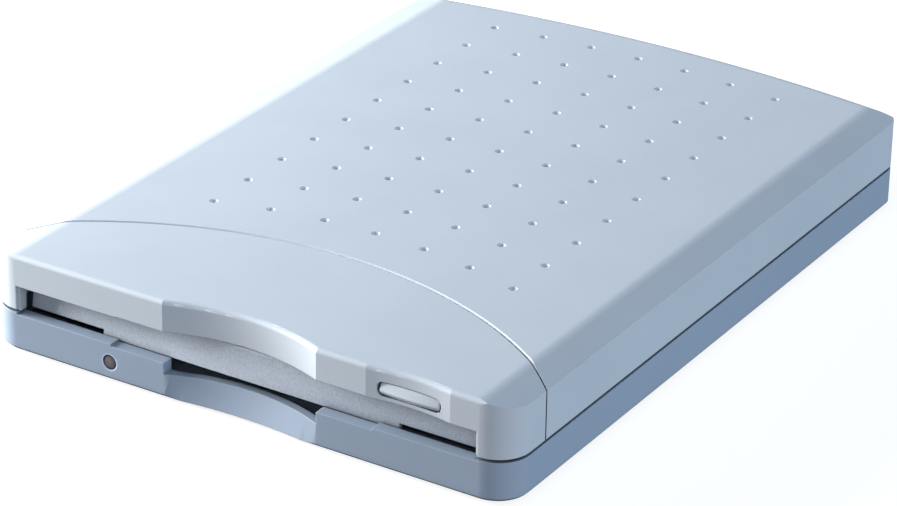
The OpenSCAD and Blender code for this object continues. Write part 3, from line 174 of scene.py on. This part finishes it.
def edge_wear_and_highlight(tree, rounded_normal, worn_and_lit):
    """A grey of 1 on flat faces and of the given gain on edges, partly wear and partly a painted highlight,
    from how far the rounded normal leans over.
    """
    geometry = tree.nodes.new("ShaderNodeNewGeometry")
    lean = vector_math(tree, "DOT_PRODUCT", rounded_normal, geometry.outputs["Normal"])
    return ramp(tree, lean, ((WEAR_AND_HIGHLIGHT_LOW, grey(worn_and_lit)), (WEAR_AND_HIGHLIGHT_HIGH, grey(1.0))))


def painted_cavity_shade(tree, reach, darkest_shade, open_at=PAINTED_SHADE_AO_HIGH):
    """Painted shade: a grey that is white in the open and darkens to its darkest value between surfaces less
    than reach apart.
    """
    node = tree.nodes.new("ShaderNodeAmbientOcclusion")
    node.samples = CORNER_RAYS
    node.inputs["Distance"].default_value = reach
    return ramp(tree, node.outputs["AO"], ((PAINTED_SHADE_AO_LOW, grey(darkest_shade)), (open_at, grey(1.0))))


def painted_rings(tree, coord, stops):
    """Painted greys by the distance from the indicator in the front view, for its painted shade and
    highlight rings, none of them near the back of the case.
    """
    apart = vector_math(tree, "SUBTRACT", coord, LENS_CENTRE)
    flattened = vector_math(tree, "MULTIPLY", apart, (1, RING_DEPTH_SHARE, 1))
    share = number_math(tree, "DIVIDE", vector_math(tree, "LENGTH", flattened), RING_REACH)
    return ramp(tree, share, [(radius / RING_REACH, grey(value)) for radius, value in stops])


def moulded_plastic(
    name,
    colour,
    grain=0.16 * MM,
    depth=0.008 * MM,
    rough=0.5,
    speckle=0.05,
    edge=0.16 * MM,
    worn_and_lit=1.2,
    reach=5 * MM,
    darkest_shade=0.12,
    open_at=PAINTED_SHADE_AO_HIGH,
    halo=None,
):
    """Moulded plastic: a spark-eroded grain, faint mottling, edges paled partly by wear and partly by a
    painted highlight, and painted shade in its cavities.
    """
    mottle = 0.02
    mottle_size = 18 * MM
    polish_size = 4 * MM
    polish = 0.05
    mat, tree, shader, coord = new_material(name)
    broad = clouds(tree, noise(tree, coord, mottle_size, 3), colour, 1 - mottle, 1 + mottle)
    fine = noise(tree, coord, grain, 3, 0.6)
    specks = ramp(tree, fine, ((0.25, grey(1 - speckle)), (0.75, grey(1 + speckle))))
    rounded_normal = edge_normal(tree, edge)
    # The edge paling is partly wear and partly a painted highlight.
    surface = multiplied(tree, broad, specks, edge_wear_and_highlight(tree, rounded_normal, worn_and_lit))
    # Painted shade and highlight rings round the indicator.
    if halo is not None:
        surface = multiplied(tree, surface, painted_rings(tree, coord, halo))
    # Painted shade darkens the colour where other surfaces stand close by.
    shaded = multiplied(tree, surface, painted_cavity_shade(tree, reach, darkest_shade, open_at))
    tree.links.new(shaded, shader.inputs["Base Color"])
    sheen = noise(tree, coord, polish_size, 2)
    tree.links.new(spread(tree, sheen, rough - polish, rough + polish), shader.inputs["Roughness"])
    shader.inputs["Specular IOR Level"].default_value = 0.45
    tree.links.new(bump(tree, fine, depth, rounded_normal), shader.inputs["Normal"])
    return mat


def clear_plastic(name, colour, rough=0.12, halo=None):
    """Tinted clear plastic, with faint clouds in it."""
    mat, tree, shader, coord = new_material(name)
    surface = clouds(tree, noise(tree, coord, 0.5 * MM, 2), colour, 0.8, 1.25)
    if halo is not None:
        surface = multiplied(tree, surface, painted_rings(tree, coord, halo))
    tree.links.new(surface, shader.inputs["Base Color"])
    shader.inputs["Roughness"].default_value = rough
    shader.inputs["Coat Weight"].default_value = 0.6
    return mat


def metal(name, colour, rough, along=(1, 1, 1)):
    """Metal with fine rolling or turning marks along one axis, and painted shade in its cavities."""
    streak = 0.06
    polish = 0.08
    mat, tree, shader, coord = new_material(name)
    stretch = tree.nodes.new("ShaderNodeMapping")
    stretch.inputs["Scale"].default_value = along
    tree.links.new(coord, stretch.inputs["Vector"])
    marks = noise(tree, stretch.outputs["Vector"], 0.4 * MM, 4)
    streaks = ramp(tree, marks, ((0.2, tinted(colour, 1 - streak)), (0.8, tinted(colour, 1 + streak))))
    # Painted shade darkens the colour in cavities.
    shaded = multiplied(tree, streaks, painted_cavity_shade(tree, 12 * MM, 0.1, 0.8))
    tree.links.new(shaded, shader.inputs["Base Color"])
    tree.links.new(spread(tree, marks, rough - polish, rough + polish), shader.inputs["Roughness"])
    shader.inputs["Metallic"].default_value = 1.0
    tree.links.new(bump(tree, marks, 0.002 * MM), shader.inputs["Normal"])
    return mat


def rubber(name, colour):
    """Dull rubber or ferrite with a coarse skin."""
    mat, tree, shader, coord = new_material(name)
    fine = noise(tree, coord, 0.3 * MM, 4)
    tree.links.new(clouds(tree, fine, colour, 0.8, 1.3), shader.inputs["Base Color"])
    shader.inputs["Roughness"].default_value = 0.8
    tree.links.new(bump(tree, fine, 0.02 * MM), shader.inputs["Normal"])
    return mat


def board(name, colour):
    """Solder resist over a faint glass weave and copper tracks."""
    weave_pitch = 2.4 * MM
    mat, tree, shader, coord = new_material(name)
    tracks = tree.nodes.new("ShaderNodeTexBrick")
    tracks.inputs["Scale"].default_value = 1 / weave_pitch
    tracks.inputs["Color1"].default_value = (*colour, 1)
    tracks.inputs["Color2"].default_value = (*tinted(colour, 0.8), 1)
    tracks.inputs["Mortar"].default_value = (*tinted(colour, 1.9), 1)
    tracks.inputs["Mortar Size"].default_value = 0.03
    tree.links.new(coord, tracks.inputs["Vector"])
    tree.links.new(tracks.outputs["Color"], shader.inputs["Base Color"])
    shader.inputs["Roughness"].default_value = 0.35
    tree.links.new(bump(tree, tracks.outputs["Fac"], 0.01 * MM), shader.inputs["Normal"])
    return mat


# Round the indicator, by radius: the lens is lighter in its middle and has painted shade at its rim, and the
# hole's edge has a painted highlight as a pale ring.
lens_low, lens_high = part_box("indicator_lens")
LENS_CENTRE = tuple((lens_low + lens_high) / 2)
LENS_R = 1.35 * MM
RING_REACH = 4 * MM
RING_DEPTH_SHARE = 0.05
LENS_SHADE = ((0.3 * LENS_R, 1.25), (0.72 * LENS_R, 1.0), (0.9 * LENS_R, 0.25))
HOLE_EDGE_HIGHLIGHT = (
    (LENS_R + 0.04 * MM, 1.0),
    (LENS_R + 0.1 * MM, 1.55),
    (LENS_R + 0.2 * MM, 1.55),
    (LENS_R + 0.38 * MM, 1.0),
)


def door_plastic(name, colour):
    """The flap's coarse, speckled moulding, with deeper and wider painted shade that stands in for the
    slot's shade.
    """
    # A long reach and a very dark darkest value paint the slot's shade over the flap.
    return moulded_plastic(
        name, colour, grain=0.3 * MM, depth=0.03 * MM, speckle=0.2, reach=10 * MM, darkest_shade=0.05, open_at=0.7
    )


def shell_plastic(name, colour):
    # Edges paled partly by wear and partly by a painted highlight, and a painted highlight ring round the
    # indicator's hole.
    return moulded_plastic(name, colour, edge=0.24 * MM, worn_and_lit=1.5, halo=HOLE_EDGE_HIGHLIGHT)


def button_plastic(name, colour):
    return moulded_plastic(name, colour, rough=0.32, depth=0.002 * MM, edge=0.1 * MM)


def smooth_plastic(name, colour):
    """Film or a small plain moulding, nearly without grain."""
    return moulded_plastic(name, colour, rough=0.3, depth=0.001 * MM)


finishes = {
    "cover_plastic": moulded_plastic("cover_plastic", (0.60, 0.64, 0.68)),
    "shell_plastic": shell_plastic("shell_plastic", (0.350, 0.415, 0.505)),
    "door_plastic": door_plastic("door_plastic", (0.56, 0.60, 0.65)),
    "button_plastic": button_plastic("button_plastic", (0.66, 0.70, 0.73)),
    # The lens has painted shade at its rim.
    "lens_plastic": clear_plastic("lens_plastic", (0.15, 0.13, 0.13), halo=LENS_SHADE),
    "lamp_plastic": clear_plastic("lamp_plastic", (0.35, 0.62, 0.25)),
    "foot_rubber": rubber("foot_rubber", (0.04, 0.04, 0.045)),
    "screw_steel": metal("screw_steel", (0.45, 0.46, 0.48), rough=0.35),
    "sheet_steel": metal("sheet_steel", (0.60, 0.61, 0.63), rough=0.38, along=(1, 0.1, 1)),
    "spring_steel": metal("spring_steel", (0.58, 0.59, 0.61), rough=0.28),
    "turned_steel": metal("turned_steel", (0.66, 0.67, 0.69), rough=0.2),
    "board_laminate": board("board_laminate", (0.04, 0.20, 0.10)),
    "component_plastic": moulded_plastic("component_plastic", (0.03, 0.03, 0.032), rough=0.55),
    "ribbon_film": smooth_plastic("ribbon_film", (0.62, 0.60, 0.50)),
    "bearing_bronze": metal("bearing_bronze", (0.62, 0.45, 0.20), rough=0.4),
    "coil_copper": metal("coil_copper", (0.70, 0.34, 0.15), rough=0.3),
    "magnet_ferrite": rubber("magnet_ferrite", (0.08, 0.08, 0.085)),
    "carriage_plastic": moulded_plastic("carriage_plastic", (0.04, 0.04, 0.045), rough=0.45),
    "head_ferrite": clear_plastic("head_ferrite", (0.10, 0.09, 0.08), rough=0.2),
    "plunger_plastic": smooth_plastic("plunger_plastic", (0.70, 0.70, 0.64)),
}


def slot_of(node):
    """The node's material slot in the record."""
    return next(part["material_slot"] for part in frame["record"]["subparts"] if part["node"] == node)


def body_of(node):
    """The body that the record puts the node on."""
    return next(body for body, held in frame["record"]["behaviour"]["bodies"].items() if node in held)


def dress_nodes():
    """Gives each CAD node the finish of its material slot."""
    for part in frame["record"]["subparts"]:
        piece = nodes[part["node"]]
        piece.data.materials.clear()
        piece.data.materials.append(finishes[part["material_slot"]])


# ---------------------------------------------------------------- pieces

# Faces that meet at less than SHARP shade as one surface; those at less than FLAT are one flat.
SHARP = math.radians(30)
FLAT = math.radians(0.2)
WELD = 0.002 * MM


def welded(node):
    """The CAD node's mesh with its faces joined along their edges."""
    work = bmesh.new()
    work.from_mesh(nodes[node].data)
    bmesh.ops.remove_doubles(work, verts=work.verts, dist=WELD)
    return work


def stand_in(work, node, name):
    """Makes a piece of the mesh, which stands for the CAD node and takes its body and finish."""
    mesh = bpy.data.meshes.new(name)
    work.to_mesh(mesh)
    work.free()
    mesh.shade_smooth()
    mesh.set_sharp_from_angle(angle=SHARP)
    piece = bpy.data.objects.new(name, mesh)
    bpy.context.scene.collection.objects.link(piece)
    slot = slot_of(node)
    mesh.materials.append(finishes[slot])
    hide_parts(node)
    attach(piece, body_of(node))
    return piece


def flats(work):
    """Each face's flat, by number, and each flat's area."""
    flat_of = {}
    areas = []
    for first in work.faces:
        if first in flat_of:
            continue
        flat_of[first] = len(areas)
        areas.append(0.0)
        waiting = [first]
        while waiting:
            face = waiting.pop()
            areas[-1] += face.calc_area()
            for other in (near for edge in face.edges for near in edge.link_faces):
                if other not in flat_of and other.normal.angle(first.normal, math.pi) < FLAT:
                    flat_of[other] = flat_of[first]
                    waiting.append(other)
    return flat_of, areas


def blended_normals(mesh):
    """Corner normals that blend the facets of a bend, where each flat counts by its whole area."""
    work = bmesh.new()
    work.from_mesh(mesh)
    flat_of, areas = flats(work)
    normals = []
    for face in work.faces:
        for loop in face.loops:
            shared = {flat_of[face]: face.normal}
            for other in loop.vert.link_faces:
                if other.normal.angle(face.normal, math.pi) < SHARP:
                    shared.setdefault(flat_of[other], other.normal)
            total = sum((areas[flat] * normal for flat, normal in shared.items()), Vector())
            normals.append(total.normalized())
    work.free()
    return normals


def add_smooth(node, name):
    """A copy of a CAD node whose small facets shade as one smooth surface."""
    piece = stand_in(welded(node), node, name)
    piece.data.normals_split_custom_set(blended_normals(piece.data))
    return piece


def add_rounded(node, name, radius):
    """A copy of a CAD node with its outer edges rounded over."""
    nearly_flat = math.radians(0.5)
    work = welded(node)
    bmesh.ops.dissolve_limit(work, angle_limit=nearly_flat, verts=work.verts, edges=work.edges)
    outer = [edge for edge in work.edges if edge.is_manifold and edge.calc_face_angle_signed(0) > SHARP]
    bmesh.ops.bevel(
        work, geom=outer, offset=radius, offset_type="OFFSET", segments=3, profile=0.5, affect="EDGES"
    )
    return stand_in(work, node, name)


# The eject button's bar: its front is bowed, and a ridge runs along it below the middle.
BUTTON_CUT = 1.6 * MM
BUTTON_CLEARANCE = 0.01 * MM
BUTTON_CORNER = 0.75 * MM
BUTTON_BOW = 0.34 * MM
BUTTON_RIDGE_Z = -0.3 * MM
BUTTON_RIDGE_SOFT = 0.14 * MM
BUTTON_UPPER_SLOPE = math.tan(math.radians(24))
BUTTON_LOWER_SLOPE = math.tan(math.radians(38))
BUTTON_EDGE_ROUND = 0.18 * MM
BUTTON_AROUND = 96
BUTTON_LOOPS = 24
BUTTON_CROWDING = 1.6
SIDE_STEEPNESS = 6


def button_outline(turn, half_w, half_h):
    """A point of the bar's outline, a rectangle with round corners, by angle round its middle."""
    across = math.cos(turn)
    upward = math.sin(turn)
    x = (half_w - BUTTON_CORNER) * max(-1, min(1, SIDE_STEEPNESS * across)) + BUTTON_CORNER * across
    z = (half_h - BUTTON_CORNER) * max(-1, min(1, SIDE_STEEPNESS * upward)) + BUTTON_CORNER * upward
    return x, z


def button_depth(x, z, half_w, half_h):
    """How far the bar's front lies behind its foremost line, at a place measured from its middle."""
    rise = z - BUTTON_RIDGE_Z
    slope = BUTTON_UPPER_SLOPE if rise > 0 else BUTTON_LOWER_SLOPE
    ridge = slope * (math.hypot(rise, BUTTON_RIDGE_SOFT) - BUTTON_RIDGE_SOFT)
    inset = min(half_w - abs(x), half_h - abs(z))
    rim_fall = BUTTON_EDGE_ROUND * max(0.0, 1 - inset / BUTTON_EDGE_ROUND) ** 2
    return BUTTON_BOW * (x / half_w) ** 2 + ridge + rim_fall


def add_band(work, first, second):
    """Faces between two loops of as many points."""
    for k in range(len(first)):
        following = (k + 1) % len(first)
        work.faces.new((first[k], second[k], second[following], first[following]))


def add_button():
    """The eject button: a bowed bar with a soft ridge, in front of the node's own flange and stem."""
    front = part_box("eject_button")[0].y
    cut = front + BUTTON_CUT
    work = welded("eject_button")
    every = work.verts[:] + work.edges[:] + work.faces[:]
    bmesh.ops.bisect_plane(work, geom=every, plane_co=(0, cut, 0), plane_no=(0, -1, 0), clear_outer=True)
    rim = [vert.co.copy() for vert in work.verts if abs(vert.co.y - cut) < 0.01 * MM]
    bmesh.ops.holes_fill(work, edges=[edge for edge in work.edges if edge.is_boundary], sides=0)
    centre_x = (min(co.x for co in rim) + max(co.x for co in rim)) / 2
    centre_z = (min(co.z for co in rim) + max(co.z for co in rim)) / 2
    half_w = max(co.x for co in rim) - centre_x - BUTTON_CLEARANCE
    half_h = max(co.z for co in rim) - centre_z - BUTTON_CLEARANCE

    def point(x, z):
        return work.verts.new((centre_x + x, front + button_depth(x, z, half_w, half_h), centre_z + z))

    middle = point(0, 0)
    last = None
    for step in range(1, BUTTON_LOOPS + 1):
        share = 1 - (1 - step / BUTTON_LOOPS) ** BUTTON_CROWDING
        row = []
        for k in range(BUTTON_AROUND):
            x, z = button_outline(2 * math.pi * k / BUTTON_AROUND, half_w, half_h)
            row.append(point(share * x, share * z))
        if last is None:
            for k in range(BUTTON_AROUND):
                work.faces.new((middle, row[k], row[(k + 1) % BUTTON_AROUND]))
        else:
            add_band(work, last, row)
        last = row
    back = [work.verts.new((vert.co.x, cut + 2 * BUTTON_CLEARANCE, vert.co.z)) for vert in last]
    add_band(work, last, back)
    work.faces.new(back[::-1])
    bmesh.ops.recalc_face_normals(work, faces=work.faces)
    return stand_in(work, "eject_button", "eject_button_bar")


# ---------------------------------------------------------------- stage

# The camera looks along +Y, turned to the left and tipped down, and is rolled a little.
CAMERA_PLACE = (0.311974, -0.512676, 0.298397)
CAMERA_TURN = math.radians(31.638)
CAMERA_DROP = math.radians(26.24)
CAMERA_ROLL = math.radians(0.987)
CAMERA_NEAR = 0.01
FOCAL_PX = 3748.47
PHOTO_W = 897
SENSOR_MM = 36

# The key stands to the left, low; the rest of the light comes from the walls to the front and right.
KEY_TURN = math.radians(76)
KEY_RISE = math.radians(14)
KEY_DISTANCE = 0.5
KEY_SIZE = (0.30, 0.22)
KEY_POWER = 8.24
KEY_COLOUR = (0.956, 0.985, 1.0)
CASE_MIDDLE = (0, 0, 10 * MM)
LOBE_POWER = 3
CEILING = (0.125, 0.167, 0.249)
FRONT_WALL = (0.300, 0.290, 0.316)
FRONT_RIGHT_CORNER = (0.521, 0.568, 0.640)
RIGHT_WALL = (0.621, 0.768, 0.926)
BACK_RIGHT_CORNER = (0.420, 0.546, 0.680)
BACK_WALL = (0.114, 0.162, 0.213)
LOBES = (
    ((0, 0, 1), CEILING),
    ((0, -1, 0.25), FRONT_WALL),
    ((1, -1, 0.3), FRONT_RIGHT_CORNER),
    ((1, 0, 0.3), RIGHT_WALL),
    ((1, 1, 0.3), BACK_RIGHT_CORNER),
    ((0, 1, 0.4), BACK_WALL),
)

# The floor lies a hair below the feet, so that the two never share a plane.
FLOOR_HALF = 4.0
FLOOR_Z = -0.02 * MM
FLOOR_GLOW = 0.84


def add_camera():
    """The photo's camera, with its focal length in pixels turned into millimetres."""
    data = bpy.data.cameras.new("camera")
    data.sensor_width = SENSOR_MM
    data.lens = FOCAL_PX / PHOTO_W * SENSOR_MM
    data.clip_start = CAMERA_NEAR
    camera = bpy.data.objects.new("camera", data)
    turn = Matrix.Rotation(CAMERA_TURN, 4, "Z")
    drop = Matrix.Rotation(math.pi / 2 - CAMERA_DROP, 4, "X")
    roll = Matrix.Rotation(CAMERA_ROLL, 4, "Z")
    camera.matrix_world = Matrix.Translation(CAMERA_PLACE) @ turn @ drop @ roll
    bpy.context.scene.collection.objects.link(camera)
    bpy.context.scene.camera = camera


def area_light(name, place, target, size, power, colour):
    """A soft rectangular light at place that points at target."""
    data = bpy.data.lights.new(name, "AREA")
    data.shape = "RECTANGLE"
    data.size, data.size_y = size
    data.energy = power
    data.color = colour
    light = bpy.data.objects.new(name, data)
    place = Vector(place)
    aim = (Vector(target) - place).to_track_quat("-Z", "Y")
    light.matrix_world = Matrix.Translation(place) @ aim.to_matrix().to_4x4()
    bpy.context.scene.collection.objects.link(light)


def add_floor():
    """A white sweep: it glows a little and lights nothing by itself, so shadows on it stay faint."""
    h = FLOOR_HALF
    mesh = bpy.data.meshes.new("floor")
    mesh.from_pydata([(-h, -h, 0), (h, -h, 0), (h, h, 0), (-h, h, 0)], [], [(0, 1, 2, 3)])
    floor = bpy.data.objects.new("floor", mesh)
    floor.location.z = FLOOR_Z
    mat, tree, shader, coord = new_material("pale_floor")
    tint = ramp(tree, noise(tree, coord, 0.4, 2), ((CLOUD_LOW, grey(0.35)), (CLOUD_HIGH, grey(0.36))))
    tree.links.new(tint, shader.inputs["Base Color"])
    shader.inputs["Roughness"].default_value = 0.9
    shader.inputs["Specular IOR Level"].default_value = 0.0
    shader.inputs["Emission Color"].default_value = (1, 1, 1, 1)
    shader.inputs["Emission Strength"].default_value = FLOOR_GLOW
    mesh.materials.append(mat)
    floor.visible_diffuse = False
    floor.visible_glossy = False
    bpy.context.scene.collection.objects.link(floor)


def add_world(lobes):
    """Studio walls and ceiling that glow softly: a lobe is a direction and the colour of its light."""
    world = bpy.data.worlds.new("studio")
    world.use_nodes = True
    tree = world.node_tree
    background = tree.nodes["Background"]
    coord = tree.nodes.new("ShaderNodeTexCoord")
    total = (0, 0, 0)
    for direction, colour in lobes:
        facing = vector_math(tree, "DOT_PRODUCT", coord.outputs["Generated"], Vector(direction).normalized())
        front = number_math(tree, "MAXIMUM", facing, 0.0)
        soft = number_math(tree, "POWER", front, LOBE_POWER)
        total = vector_math(tree, "MULTIPLY_ADD", soft, colour, total)
    tree.links.new(total, background.inputs["Color"])
    bpy.context.scene.world = world


def add_studio():
    """The key light and the glowing walls."""
    bpy.context.scene.view_settings.view_transform = "Standard"
    add_world(LOBES)
    reach = KEY_DISTANCE * math.cos(KEY_RISE)
    height = KEY_DISTANCE * math.sin(KEY_RISE)
    key_place = (-reach * math.sin(KEY_TURN), -reach * math.cos(KEY_TURN), height)
    area_light("key", key_place, CASE_MIDDLE, KEY_SIZE, KEY_POWER, KEY_COLOUR)


dress_nodes()
add_smooth("lower_shell", "lower_shell_moulding")
add_button()
add_rounded("slot_door", "slot_door_moulding", 0.12 * MM)
add_rounded("rubber_feet", "rubber_feet_moulding", 0.18 * MM)
add_rounded("indicator_lens", "indicator_lens_moulding", 0.12 * MM)
add_camera()
add_floor()
add_studio()
